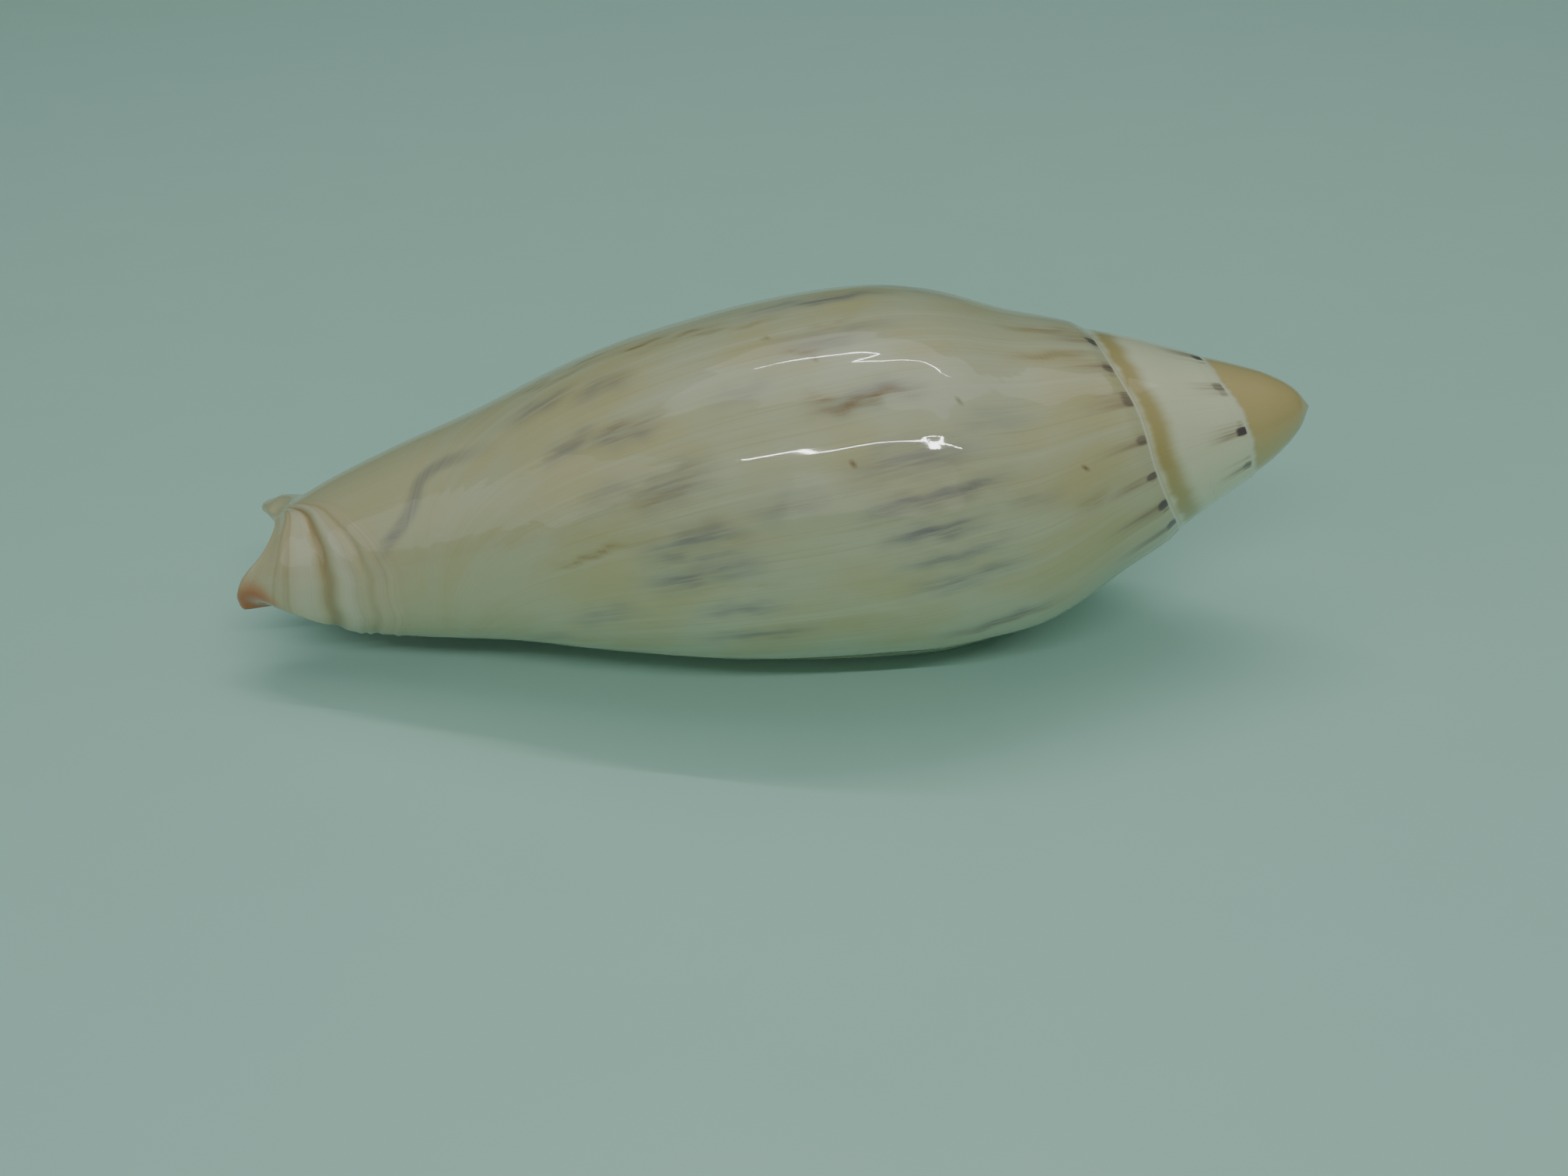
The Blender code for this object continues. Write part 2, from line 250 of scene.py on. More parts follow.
def edgeFrame(steps, angle, points):
    # for each point of the mouth's edge: the way out of the surface, and the way the edge faces
    last, bodyRows = shellForm["columns"], shellForm["bodyRows"]
    a = np.radians([angle[i, j] for i, j in steps])
    out = np.stack([0 * a, np.sin(a), np.cos(a)], axis=-1)
    around = np.stack([0 * a, np.cos(a), -np.sin(a)], axis=-1)
    way = evenedOut(np.array([1.0 if j == 0 else -1.0 if j == last else 0.0 for i, j in steps]), 14)
    inner = evenedOut(np.array([float(j == last) for i, j in steps]), 60)
    way[0] = 0.6
    faces = around * way[:, None] + np.array([-1.0, 0, 0]) * (1 - np.abs(way))[:, None]
    faces /= np.linalg.norm(faces, axis=1)[:, None]
    room = np.array([np.linalg.norm(points[i, 0] - points[i, last]) for i, j in steps])
    wall = shellForm["wall"]
    wall = np.where([j == 0 for i, j in steps], np.minimum(wall, 0.35 * room), wall * (1 + inner))
    # the far corner of the notch thins out to a sharp edge
    h = np.array([points[i, j][0] for i, j in steps])
    wall = wall * (1 - 0.5 * smooth((12 - h) / 8) * smooth((np.degrees(a) + 10) / 40))
    wall[0] = 0.01
    order = np.arange(len(steps))
    inner = np.where(order < bodyRows, 0, np.where(order > len(steps) - bodyRows / 2, 1, inner))
    return out, faces, wall, inner, room


def solidShell():
    columns, bodyRows = shellForm["columns"], shellForm["bodyRows"]
    rows, angle = outsideGrid()
    points = place(rows, angle, outsideRadius(rows, angle) + relief(rows, angle))
    mesh = bmesh.new()
    grid = [[mesh.verts.new(p) for p in row] for row in points[:-1]]
    apex = mesh.verts.new(points[-1, 0])
    # behind the mouth the first and last columns are one
    for i in range(bodyRows, len(grid)):
        mesh.verts.remove(grid[i][-1])
        grid[i][-1] = grid[i][0]
    for low, high in zip(grid, grid[1:]):
        for j in range(columns):
            mesh.faces.new((low[j], high[j], high[j + 1], low[j + 1]))
    for j in range(columns):
        mesh.faces.new((grid[-1][j], apex, grid[-1][j + 1]))

    # the edge of the mouth: down the lip, over the notch, up the inner lip; it is rolled over round
    steps = [(i, 0) for i in range(bodyRows, 0, -1)] + [(0, j) for j in range(columns)]
    steps += [(i, columns) for i in range(bodyRows)]
    out, faces, wall, inner, room = edgeFrame(steps, angle, points)
    at = np.array([points[i, j] for i, j in steps])
    ring = [grid[i][j] for i, j in steps]
    for turn in np.linspace(0, math.pi, shellForm["edgeSteps"] + 1)[1:]:
        offset = (out * (math.cos(turn) - 1) + faces * math.sin(turn)) * (wall * (1 - inner) / 2)[:, None]
        offset = offset + faces * (0.1 * turn * inner * np.minimum(room, 1))[:, None]
        fresh = [mesh.verts.new(p) for p in at + offset]
        for k in range(len(ring)):
            n = (k + 1) % len(ring)
            mesh.faces.new((ring[k], ring[n], fresh[n], fresh[k]))
        ring = fresh

    # plain faces across the mouth, which the space then opens
    edge = dict(zip(steps, ring))
    mesh.faces.new((edge[bodyRows, 0], edge[bodyRows - 1, 0], edge[bodyRows - 1, columns]))
    for i in range(bodyRows - 1):
        mesh.faces.new((edge[i, 0], edge[i + 1, 0], edge[i + 1, columns], edge[i, columns]))
    middle = mesh.verts.new(place(np.array(9.0), np.array(0), np.array(0)))
    front = [edge[0, j] for j in range(columns + 1)]
    for a, b in zip(front, front[1:] + front[:1]):
        mesh.faces.new((a, b, middle))
    return mesh


# The space inside the last turn: loops outside the lip, then loops going back round the columella
mouthSpace = {
    "front": [(-20, -7), (124, -7), (140, 0), (150, 2.5), (170, 5), (190, 7.5), (210, 11), (270, 28)],
    "top": 63.2,
    "topRise": 3.0,
    "turnBack": 262,
    "fadeEnd": 265,
    "fadeOver": 45,
    "loops": 90,
    "outerLoops": 8,
    "side": 60,
    "pastLip": 13,
    "clearOfBody": 0.6,
    "thinnest": 0.1,
    "coreExtra": 0.34,
    "coreFar": -2.9,
    "coreUp": -1.35,
    "foldHeight": 0.28,
    "foldPitch": 4.6,
}
spaceFront = curve(mouthSpace["front"])


def corePoint(h, angle, outer):
    # the columella and the older turn, met on the way in from a point of the wall
    left = 1 - np.clip(h / length, 0, 1)
    core = innerRadius(np.maximum(h, 9)) + mouthSpace["coreExtra"] * left
    core = core * (1 - 0.1 * smooth((lipEnd - angle) / 200))
    fold = smooth((h - 9) / 5) * smooth((40 - h) / 8)
    winding = h / mouthSpace["foldPitch"] + (lipEnd - angle) / 360
    core = core + mouthSpace["foldHeight"] * fold * np.cos(2 * np.pi * winding)
    atMouth = smooth((angle - 95) / 50) * smooth((h - 6) / 9)
    under = outsideRadius(h, angle - 360) + 0.5 * smooth((angle - lipEnd) / 15) - 0.15
    core = core * (1 - atMouth) + under * atMouth
    axis = np.stack([0 * h, mouthSpace["coreFar"] * left, mouthSpace["coreUp"] * left], axis=-1)
    way = outer - (place(h, 0 * h, 0 * h) + axis * (1 - atMouth)[:, None])
    far = np.linalg.norm(way, axis=1)
    return far - core, way / far[:, None]


def hollow():
    mesh = bmesh.new()
    side, outerLoops = mouthSpace["side"], mouthSpace["outerLoops"]
    k = (1 - np.cos(np.linspace(0, math.pi, side))) / 2
    inward = np.linspace(0, mouthSpace["turnBack"], mouthSpace["loops"])
    rings = []
    for back in np.concatenate([np.arange(-outerLoops, 0), inward]):
        top = mouthSpace["top"] + mouthSpace["topRise"] * smooth(back / 150)
        low = spaceFront(back)
        h = low + (top - low) * k
        reach = np.maximum(mouthSpace["pastLip"], 361 + innerAngle(h) - lipAngle(h)) / outerLoops
        angle = lipAngle(h) - (back if back > 0 else back * reach)
        radius = outsideRadius(h, np.minimum(angle, lipAngle(h))) - wallAt(h)
        # past the lip the space stays clear of the body, which swells there
        clear = np.maximum(outsideRadius(h, angle - 360) + mouthSpace["clearOfBody"] - radius, 0)
        radius = radius + clear * smooth((angle - lipAngle(h) - 2.5) / 5)
        outer = place(h, angle, radius)
        gap, way = corePoint(h, angle, outer)
        taper = 1.5 + 5.5 * smooth(back / 60)
        close = np.sqrt(np.clip((top - h) / taper, 0, 1) * np.clip((h - low) / 6, 0, 1))
        fade = math.sqrt(min(1, (mouthSpace["fadeEnd"] - back) / mouthSpace["fadeOver"]))
        gap = np.maximum(gap * close * fade, mouthSpace["thinnest"])
        rings.append([mesh.verts.new(p) for p in np.concatenate([outer, (outer - way * gap[:, None])[::-1]])])
    for last, ring in zip(rings, rings[1:]):
        for n in range(len(ring)):
            m = (n + 1) % len(ring)
            mesh.faces.new((last[n], last[m], ring[m], ring[n]))
    for ring in (rings[0], rings[-1]):
        for n in range(side - 1):
            mesh.faces.new((ring[n], ring[n + 1], ring[-2 - n], ring[-1 - n]))
    return mesh


def meshObject(mesh, name):
    bmesh.ops.recalc_face_normals(mesh, faces=mesh.faces)
    data = bpy.data.meshes.new(name)
    mesh.to_mesh(data)
    mesh.free()
    made = bpy.data.objects.new(name, data)
    bpy.context.scene.collection.objects.link(made)
    return made


def cutHollow(solid, space):
    # the space is cut out at the drawing's own millimetres, and the result is kept as a plain mesh
    cut = solid.modifiers.new("mouth", "BOOLEAN")
    cut.operation = "DIFFERENCE"
    cut.solver = "MANIFOLD"
    cut.object = space
    bpy.context.view_layer.update()
    evaluated = solid.evaluated_get(bpy.context.evaluated_depsgraph_get())
    data = bpy.data.meshes.new_from_object(evaluated)
    solid.modifiers.clear()
    solid.data = data
    bpy.data.objects.remove(space)
    return solid


# Blue and tan marks are (h, angle, half length, half width, strength), and lie along the growth lines
marks = {
    "blue": [(55.9, -76.8, 4.8, 0.45, 1.0), (59.5, -118.5, 5.4, 0.45, 0.95), (38.9, -73.4, 5.0, 0.70, 0.85),
             (39.2, -83, 5.4, 0.75, 0.95), (41.1, -98, 4.2, 0.50, 0.7), (41.7, -110.8, 5.2, 0.45, 0.75),
             (57.8, -65, 4.6, 0.45, 0.85), (54.4, -68.6, 4.4, 0.50, 0.8), (50, 6, 6.6, 0.45, 1.0),
             (51, -15.5, 5.4, 0.70, 0.55), (52.6, -37, 4.8, 0.55, 0.8), (28.6, -12.2, 3.6, 0.60, 0.65),
             (33.6, -14.5, 3.0, 0.70, 0.65), (31, -34.8, 2.8, 0.50, 0.75), (35.1, -35.3, 3.6, 0.60, 0.85),
             (38, -55, 4.2, 0.85, 0.7), (33.8, -55.5, 3.4, 0.70, 0.45), (55, -56, 6.0, 0.90, 0.7),
             (56.9, -85.5, 5.4, 0.45, 0.75), (57.6, -94, 5.4, 0.55, 0.75), (30.7, -101, 3.4, 0.65, 0.55),
             (61, -44, 3.6, 0.55, 0.35), (46, -66, 4.0, 0.55, 0.4), (63, -70, 2.8, 0.35, 0.4),
             (44, -30, 3.0, 0.50, 0.35), (25, -122, 3.0, 0.45, 0.5)],
    "tan": [(52.6, -38, 4.2, 0.22, 1.0), (49.4, -35.5, 1.6, 0.22, 0.8), (31, -75, 3.8, 0.16, 0.75),
            (39.5, 1, 4.4, 0.22, 0.85), (45.5, -2, 2.4, 0.20, 0.6), (67, -77.5, 1.5, 0.30, 0.6),
            (35.2, -33, 2.0, 0.18, 0.6), (37, -58, 3.0, 0.16, 0.45), (59, -120.5, 4.6, 0.22, 0.6),
            (48.5, -20, 1.8, 0.18, 0.6), (31, 2, 3.2, 0.20, 0.5), (51, -9, 2.2, 0.16, 0.5),
            (42, -89, 3.8, 0.14, 0.35), (66.2, -16, 3.8, 0.30, 0.6), (65.8, 0, 3.8, 0.34, 0.6),
            (36.3, 4, 2.6, 0.20, 1.0), (32, 7.5, 2.0, 0.18, 0.9), (27.8, 2, 1.4, 0.20, 0.9),
            (41.6, -1.5, 1.8, 0.15, 0.8)],
    # the far side gets blue marks from a seeded draw within these ranges
    "sideSeed": 7,
    "sideCount": 34,
    "sideRanges": [(24, 62), (18, 150), (2.6, 6), (0.4, 0.9), (0.45, 0.95)],
    # one bent blue line in front, as (h, angle), laid out on a cylinder of this radius
    "bandLine": [(24.4, -24), (22.3, -23), (19.8, -22), (18.0, -28), (17.6, -40.5), (16.1, -51.4), (13.9, -62.1),
                 (13.8, -76)],
    "bandLineRadius": 8.6,
    "bandLineWidth": 0.75,
    # small dark specks as (h, angle, size)
    "specks": [(49.4, -22.8, 0.20), (46.0, -11.6, 0.22), (53.0, -27.4, 0.14), (55.6, -52.6, 0.13),
               (51.0, -55.8, 0.14), (52.4, -16, 0.16), (43.4, -20, 0.12), (58.9, -38.4, 0.12),
               (66.9, -63, 0.13), (47.6, -60, 0.10), (38.6, -90, 0.09), (27.0, -20, 0.14), (62, -30, 0.10)],
    "speckSize": 0.75,
    # for each turn's suture: the degrees from spot to spot, and where the first one is
    "spotSteps": [(18.5, -2.0), (36.0, -66.0), (80.0, -30.0)],
    "sutureReach": {"body": 9.0, "spire": 3.0},
    "tipSpot": {"h": 1.3, "angle": -97, "long": 1.9, "wide": 26},
    "growthScale": 0.26,
}


def alongGrowth(h, angle, radius, spots):
    # soft lens shapes laid along the growth lines
    total = np.zeros(h.shape)
    g = growthPlace(h, angle) + 0.9 * np.sin(0.9 * h) + 0.5 * np.sin(2.3 * h + 0.2 * angle)
    for h0, a0, halfLong, halfWide, strength in spots:
        along = (h - h0) / halfLong
        across = (g - growthPlace(h0, a0)) * np.pi / 180 * radius / (halfWide * 1.5)
        lens = smooth(1.15 - np.abs(along)) * np.exp(-across**2)
        total = np.maximum(total, strength * lens)
    return total


def roundedRoute(points):
    # the corners of a route are cut twice, so that it bends softly
    for _ in range(2):
        cut = [points[0]]
        for (h0, a0), (h1, a1) in zip(points, points[1:]):
            cut += [(0.75 * h0 + 0.25 * h1, 0.75 * a0 + 0.25 * a1), (0.25 * h0 + 0.75 * h1, 0.25 * a0 + 0.75 * a1)]
        points = cut + [points[-1]]
    return points


def fromBandLine(h, angle):
    # distance to the bent blue line
    away = np.full(len(h), 9.0)
    route = roundedRoute(marks["bandLine"])
    radius = marks["bandLineRadius"]
    y = np.radians(angle) * radius
    for (x0, a0), (x1, a1) in zip(route, route[1:]):
        y0, y1 = np.radians(a0) * radius, np.radians(a1) * radius
        share = ((h - x0) * (x1 - x0) + (y - y0) * (y1 - y0)) / ((x1 - x0) ** 2 + (y1 - y0) ** 2)
        share = np.clip(share, 0, 1)
        away = np.minimum(away, np.hypot(h - x0 - share * (x1 - x0), y - y0 - share * (y1 - y0)))
    return away


def sideMarks():
    rng = np.random.default_rng(marks["sideSeed"])
    return [tuple(rng.uniform(*pair) for pair in marks["sideRanges"]) for _ in range(marks["sideCount"])]


def vertexPlaces(shell):
    flat = np.empty(len(shell.data.vertices) * 3, np.float32)
    shell.data.vertices.foreach_get("co", flat)
    return flat.reshape(-1, 3).astype(float)


def localCoordinates(points):
    # h, angle and radius of each vertex, with the angle unrolled on to the turn it belongs to,
    # and how far through the wall it lies, from 0 outside to 1 inside
    h = points[:, 0]
    far = points[:, 1] - bowFar(h)
    up = points[:, 2] - bowUp(h)
    radius = np.hypot(far, up)
    plain = np.degrees(np.arctan2(far, up))
    best = np.full(len(h), 99.0)
    angle = plain.copy()
    for turn in (0, 360, -360):
        trial = plain + turn
        inRange = (trial > innerAngle(h) - 3) & (trial < edgeAngle(h) + 3)
        miss = np.where(inRange, np.abs(radius - outsideRadius(h, trial) - relief(h, trial)), 98.0)
        angle = np.where(miss < best, trial, angle)
        best = np.minimum(best, miss)
    return h, angle, radius, np.clip(best / wallAt(h), 0, 1)


def paintMasks(shell):
    # numbers on each vertex that the material reads
    h, angle, radius, within = localCoordinates(vertexPlaces(shell))
    t, bandMask = bandPlace(h, angle)
    gap, which = sutureGap(h, angle)
    steps, starts = np.array(marks["spotSteps"]).T
    order = which.astype(int)
    outside = smooth((0.5 - within) / 0.3)
    bodySide = smooth(-gap / 0.5) * (which == 0) * (1 - bandMask)
    bandLine = smooth(1.2 - fromBandLine(h, angle) / marks["bandLineWidth"]) * smooth((26 - h) / 8)
    speck = np.zeros(len(h))
    for h0, a0, size in marks["specks"]:
        away = np.hypot(h - h0, np.radians(angle - a0) * radius)
        speck = np.maximum(speck, smooth(1.45 - away / (marks["speckSize"] * size)))
    spot = marks["tipSpot"]
    tip = smooth(1.7 - np.hypot((h - spot["h"]) / spot["long"], (angle - spot["angle"]) / spot["wide"]))
    # the spots' tails reach further over the body than over the spire, and the last turn has none
    reach = marks["sutureReach"]
    reach = np.where((gap < 0) & (which == 0), reach["body"], reach["spire"])
    nearSuture = smooth(1.3 - np.abs(gap) / reach) * (which < 2) * (1 - smooth((h - 80.6) / 0.6))
    lean = 0.9 * (growthSweep(h) - growthSweep(h - gap))
    values = {
        "growthWay": growthPlace(h, angle) * marks["growthScale"],
        "along": h,
        "bandPlace": t,
        "bandMask": bandMask * outside,
        "sutureGap": gap,
        "spotWay": (angle - lean - starts[order]) / steps[order],
        "nearSuture": nearSuture,
        "blueMark": alongGrowth(h, angle, radius, marks["blue"] + sideMarks()) * bodySide * outside,
        "tanMark": alongGrowth(h, angle, radius, marks["tan"]) * bodySide * outside,
        "bandLine": bandLine * outside,
        "speck": speck * outside,
        "tipSpot": tip * smooth((within + 0.6) / 0.5),
        "within": within,
        "spireGap": h - sutureAt(angle),
        "domeGap": h - sutureAt(angle, 1),
        "lipGap": (edgeAngle(h) - angle) * np.pi / 180 * radius,
        "underside": smooth((-150 - angle) / 40),
    }
    for name, value in values.items():
        layer = shell.data.attributes.new(name, "FLOAT", "POINT")
        layer.data.foreach_set("value", value.astype(np.float32))


# How the shell lies: its own coordinates turned by the roll and tilt, and moved to the middle of its base
def lieDown(points):
    tilt, roll = math.radians(shellForm["tilt"]), math.radians(shellForm["roll"])
    h, far, up = points[..., 0], points[..., 1], points[..., 2]
    rolled = up * math.cos(roll) + far * math.sin(roll)
    return np.stack([h * math.cos(tilt) - rolled * math.sin(tilt), far * math.cos(roll) - up * math.sin(roll),
                     h * math.sin(tilt) + rolled * math.cos(tilt)], axis=-1)


def layShell(shell):
    laid = lieDown(vertexPlaces(shell))
    low, high = laid.min(axis=0), laid.max(axis=0)
    origin = np.array([(low[0] + high[0]) / 2, (low[1] + high[1]) / 2, low[2]])
    shell.data.vertices.foreach_set("co", ((laid - origin) / 1000).astype(np.float32).ravel())
    shell.data.update()
    return origin


shell = cutHollow(meshObject(solidShell(), "volute_shell"), meshObject(hollow(), "space"))
paintMasks(shell)
shellOrigin = layShell(shell)
shell.data.shade_smooth()
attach(shell, "root")
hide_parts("shell")
print("shell made:", len(shell.data.polygons), "faces")

# Colours are linear. A range is (low, high), or (low, high, value at low, value at high); widths are millimetres
porcelainFinish = {
    "cream": (0.47, 0.505, 0.325, 1),
    "warmCream": (0.46, 0.445, 0.225, 1),
    "paleLine": (0.53, 0.59, 0.42, 1),
    "tanLine": (0.37, 0.35, 0.18, 1),
    "blueGrey": (0.17, 0.165, 0.175, 1),
    "tan": (0.24, 0.145, 0.035, 1),
    "sutureBand": (0.36, 0.285, 0.075, 1),
    "spireCream": (0.64, 0.69, 0.46, 1),
    "dome": (0.50, 0.42, 0.175, 1),
    "spot": (0.06, 0.03, 0.045, 1),
    "spotTail": (0.23, 0.145, 0.09, 1),
    "speck": (0.16, 0.08, 0.02, 1),
    "bandCream": (0.52, 0.49, 0.29, 1),
    "bandTan": (0.30, 0.20, 0.07, 1),
    "insideEdge": (0.64, 0.52, 0.28, 1),
    "insideDeep": (0.36, 0.15, 0.02, 1),
    "tip": (0.45, 0.115, 0.004, 1),
    "tipEdge": (0.10, 0.035, 0.03, 1),
    "white": (0.66, 0.68, 0.52, 1),
    "coat": 0.95,
    "coatRoughness": 0.035,
    "ior": 1.52,
    "lineHeight": 0.000022,
    "lineStrength": 0.55,
    # each cloudy pattern, as (scale across, scale along, seed, detail, roughness)
    "patterns": {
        "fine": (4.6, 0.035, 0.0, 5.0, 0.68),
        "broad": (0.9, 0.03, 3.7, 4.0, 0.55),
        "patch": (0.16, 0.11, 8.1, 2.0, 0.5),
        "ragged": (1.9, 0.16, 5.2, 3.0, 0.6),
        "wander": (0.42, 0.1, 6.6, 3.0, 0.55),
        "arches": (9.0, 0.03, 1.4, 4.0, 0.65),
        "cloud": (0.2, 0.2, 2.2, 3.0, 0.5),
    },
    "ranges": {
        "outside": (0.25, 0.6, 1.0, 0.0),
        "warmPatch": (0.34, 0.70),
        "paleLine": (0.50, 0.72, 0.0, 0.34),
        "tanLine": (0.50, 0.72, 0.0, 0.50),
        "quietFront": (15.0, 30.0, 0.55, 1.0),
        "frontTint": (34.0, 14.0, 0.0, 0.45),
        "dash": (0.36, 0.60, 0.45, 1.0),
        "tanMark": (0.36, 0.55, 0.25, 1.0),
        "bentLine": (0.25, 0.65, 0.35, 0.65),
        "sutureBandFront": (0.0, 0.75),
        "sutureBandBack": (2.6, 1.2),
        "spireLine": (0.55, 0.75, 0.0, 0.25),
        "spire": (0.0, 0.4),
        "dome": (0.1, 0.6),
        "spotHead": (1.5, 0.2),
        "spotEnd": (0.06, -0.08),
        "spotLuck": (0.0, 0.6, 0.5, 1.0),
        "tailLong": (-4.6, 0.6),
        "tailWide": (0.26, 0.0),
        "tailEnd": (0.05, -0.2),
        "tailRagged": (0.34, 0.58, 0.35, 1.0),
        "whiteLineFront": (-0.12, -0.03),
        "whiteLineBack": (0.13, 0.04),
        "archLine": (0.46, 0.66, 0.0, 0.4),
        # the rim's whitening is a painted highlight on the rounded fold behind the notch
        "rimHighlightFront": (0.50, 0.72),
        "rimHighlightBack": (0.90, 0.78),
        "ridgeFront": (1.06, 1.16),
        "ridgeBack": (1.34, 1.22),
        "underside": (0.0, 1.0, 0.0, 0.6),
        "deep": (2.0, 9.5),
        "tipEdge": (0.9, 1.0),
        "tipInside": (0.05, 0.5),
        "roughness": (0.3, 0.7, 0.38, 0.50),
    },
    # how strongly each mark covers what lies under it
    # rim is the strength of the painted highlight on the band's rounded rim
    "strength": {"dash": 0.88, "tanMark": 0.9, "sutureBand": 0.85, "spotTail": 0.8, "spot": 0.9, "whiteLine": 0.75,
                 "rim": 0.45, "ridge": 0.5, "band": 0.85, "speck": 0.85, "tip": 0.95, "tipEdge": 0.6},
    "sutureBandWander": 1.1,
    "spotJitter": 0.7,
    "spotNarrow": 6.0,
    "spotShort": 2.1,
    "spotBefore": 0.38,
    "spotRagged": 2.4,
    "tailLuck": 3.0,
    # tan grooves of the band, as (place, half width, strength)
    "bandGrooves": [(0.98, 0.13, 0.8), (1.42, 0.09, 0.35), (1.74, 0.09, 0.25)],
    "cloudDepth": 4.0,
    "broadBump": 1.6,
    "archBump": 2.0,
}


def porcelain():
    look = porcelainFinish
    ranges, strength = look["ranges"], look["strength"]
    made = bpy.data.materials.new("glossy porcelain shell")
    made.use_nodes = True
    tree = made.node_tree
    paint = tree.nodes["Principled BSDF"]

    def feed(socket, value):
        if isinstance(value, bpy.types.NodeSocket):
            tree.links.new(value, socket)
        else:
            socket.default_value = value

    def node(kind, **sockets):
        fresh = tree.nodes.new(kind)
        for name, value in sockets.items():
            feed(fresh.inputs[name], value)
        return fresh

    def number(name):
        fresh = tree.nodes.new("ShaderNodeAttribute")
        fresh.attribute_name = name
        return fresh.outputs["Fac"]

    def maths(kind, *values):
        fresh = tree.nodes.new("ShaderNodeMath")
        fresh.operation = kind
        for socket, value in zip(fresh.inputs, values):
            feed(socket, value)
        return fresh.outputs[0]

    def plus(a, b):
        return maths("ADD", a, b)

    def minus(a, b):
        return maths("SUBTRACT", a, b)

    def times(first, *others):
        for other in others:
            first = maths("MULTIPLY", first, other)
        return first

    def ramp(value, span):
        fresh = tree.nodes.new("ShaderNodeMapRange")
        fresh.interpolation_type = "SMOOTHSTEP"
        for socket, given in zip(fresh.inputs, (value, *span)):
            feed(socket, given)
        return fresh.outputs[0]

    def between(value, front, back):
        return times(ramp(value, ranges[front]), ramp(value, ranges[back]))

    def blend(share, a, b):
        fresh = tree.nodes.new("ShaderNodeMix")
        fresh.data_type = "RGBA"
        feed(fresh.inputs[0], share)
        feed(fresh.inputs[6], a)
        feed(fresh.inputs[7], b)
        return fresh.outputs[2]

    def pattern(name, across, lengthwise):
        wide, long, seed, detail, rough = look["patterns"][name]
        spot = node("ShaderNodeCombineXYZ", X=times(across, wide), Y=times(lengthwise, long), Z=seed)
        fresh = node("ShaderNodeTexNoise", Vector=spot.outputs[0], Scale=1.0, Detail=detail, Roughness=rough)
        return fresh.outputs["Fac"]

    growth, along, gap = number("growthWay"), number("along"), number("sutureGap")
    band, bandMask, within = number("bandPlace"), number("bandMask"), number("within")
    nearSuture, lipGap, tipSpot = number("nearSuture"), number("lipGap"), number("tipSpot")
    outside = ramp(within, ranges["outside"])

    # growth lines: long across the noise, fine along it
    fine, broad = pattern("fine", growth, along), pattern("broad", growth, along)
    patch, ragged = pattern("patch", growth, along), pattern("ragged", growth, along)
    quiet = ramp(along, ranges["quietFront"])
    colour = blend(times(ramp(patch, ranges["warmPatch"]), quiet), look["cream"], look["warmCream"])
    colour = blend(times(ramp(broad, ranges["paleLine"]), quiet), colour, look["paleLine"])
    colour = blend(times(ramp(fine, ranges["tanLine"]), quiet), colour, look["tanLine"])
    colour = blend(ramp(along, ranges["frontTint"]), colour, look["warmCream"])

    # the soft blue-grey dashes and the tan marks in and beside them
    dash = times(number("blueMark"), ramp(ragged, ranges["dash"]), strength["dash"])
    colour = blend(dash, colour, look["blueGrey"])
    brown = times(number("tanMark"), ramp(ragged, ranges["tanMark"]), strength["tanMark"])
    colour = blend(brown, colour, look["tan"])
    colour = blend(times(number("bandLine"), ramp(ragged, ranges["bentLine"])), colour, look["blueGrey"])

    # spire: tan band above the suture, then a creamy turn, then the smooth tan dome
    wander = pattern("wander", growth, along)
    wavy = plus(gap, times(minus(wander, 0.5), look["sutureBandWander"]))
    sutureBand = times(between(wavy, "sutureBandFront", "sutureBandBack"), nearSuture, strength["sutureBand"])
    spire = blend(sutureBand, look["spireCream"], look["sutureBand"])
    spire = blend(ramp(fine, ranges["spireLine"]), spire, look["tanLine"])
    spire = blend(ramp(number("domeGap"), ranges["dome"]), spire, look["dome"])
    colour = blend(ramp(number("spireGap"), ranges["spire"]), colour, spire)

    # comet-shaped spots hanging forward from the sutures: a dark head and a long ragged tail
    jitter = times(minus(broad, 0.5), look["spotJitter"])
    spotAt = plus(plus(number("spotWay"), jitter), 0.5)
    chance = tree.nodes.new("ShaderNodeTexWhiteNoise")
    chance.noise_dimensions = "1D"
    feed(chance.inputs["W"], maths("FLOOR", spotAt))
    luck = chance.outputs["Value"]
    side = maths("ABSOLUTE", minus(maths("FRACT", spotAt), 0.5))
    sideways = times(side, look["spotNarrow"])
    forward = times(plus(gap, look["spotBefore"]), look["spotShort"])
    away = plus(times(sideways, sideways), times(forward, forward))
    away = plus(away, times(minus(ragged, 0.5), look["spotRagged"]))
    head = times(ramp(away, ranges["spotHead"]), ramp(gap, ranges["spotEnd"]), ramp(luck, ranges["spotLuck"]))
    tailLong = ramp(plus(gap, times(luck, look["tailLuck"])), ranges["tailLong"])
    tail = times(ramp(side, ranges["tailWide"]), tailLong, ramp(gap, ranges["tailEnd"]),
                 ramp(ragged, ranges["tailRagged"]))
    colour = blend(times(tail, nearSuture, strength["spotTail"]), colour, look["spotTail"])
    colour = blend(times(head, nearSuture, strength["spot"]), colour, look["spot"])
    whiteLine = between(gap, "whiteLineFront", "whiteLineBack")
    colour = blend(times(whiteLine, nearSuture, strength["whiteLine"]), colour, look["white"])
